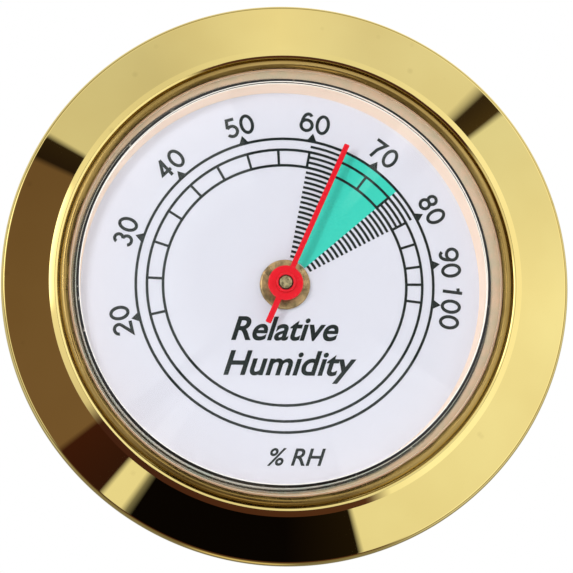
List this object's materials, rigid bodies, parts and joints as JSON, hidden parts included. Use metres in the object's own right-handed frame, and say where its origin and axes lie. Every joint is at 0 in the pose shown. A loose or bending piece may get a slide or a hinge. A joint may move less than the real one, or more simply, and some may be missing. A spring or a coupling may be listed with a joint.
{
  "type": "dial hygrometer",
  "caption": "Round flush-mounted dial hygrometer: polished brass flange and lens, white humidity dial, red pointer on a coil, and a slotted calibration post in the vented back.",
  "frame": {"origin": "on the axis of the dial, at the rear seating plane of the flange", "axes": "-Y is the way the dial faces, +Y goes into the panel along the axis, +Z is 12 o'clock, +X is 3 o'clock"},
  "size_m": [0.0446, 0.0117, 0.0446],
  "materials": {
    "bezel_brass": "polished yellow brass plate, clear lacquered",
    "ring_brass": "polished spun brass",
    "lens_glass": "clear mineral glass with a ground bevel",
    "gasket_amber": "amber moulded silicone",
    "reflector_rose": "rose-gold bright plate",
    "seat_black": "black moulded plastic",
    "case_brass": "satin drawn brass",
    "dial_white": "satin bluish-white enamel",
    "ink_dark": "matt screen-printed ink",
    "ink_green": "satin screen-printed ink",
    "bush_brass": "turned brass",
    "pointer_red": "bright red enamel",
    "post_brass": "turned brass with a screwdriver slot",
    "arm_steel": "blanked and nickel-plated",
    "spring_steel": "bright spring steel",
    "coil_strip": "hygroscopic paper laminated to a copper-coloured metal strip"
  },
  "bodies": {
    "case": {"bezel_ring": "bezel_brass", "lens_ring": "ring_brass", "lens_glass": "lens_glass", "lens_gasket": "gasket_amber", "reflector_ring": "reflector_rose", "dial_seat_ring": "seat_black", "case_cup": "case_brass", "dial_plate": "dial_white", "dial_scale_print": "ink_dark", "dial_numerals_print": "ink_dark", "caution_hatch_print": "ink_dark", "comfort_zone_print": "ink_green", "front_bush": "bush_brass"},
    "calibrator": {"calibration_post": "post_brass", "calibration_arm": "arm_steel", "friction_washer": "spring_steel", "coil_stud": "arm_steel", "coil_clip": "arm_steel", "hygro_coil": "coil_strip"},
    "pointer": {"spindle": "bush_brass", "coil_collet": "bush_brass", "pointer_hub": "pointer_red", "pointer_arm": "pointer_red"}
  },
  "joints": [
    {"name": "calibration_turn", "type": "hinge", "parent": "case", "child": "calibrator", "pos_m": [0, 0.009, 0], "axis": [0, 1, 0], "range_deg": [-45, 45]},
    {"name": "pointer_swing", "type": "hinge", "parent": "calibrator", "child": "pointer", "pos_m": [0, 0.004, 0], "axis": [0, 1, 0], "range_deg": [-126.8, 73.3], "stiffness_Nm_per_rad": 0.00002, "deforming": ["hygro_coil"]}
  ]
}
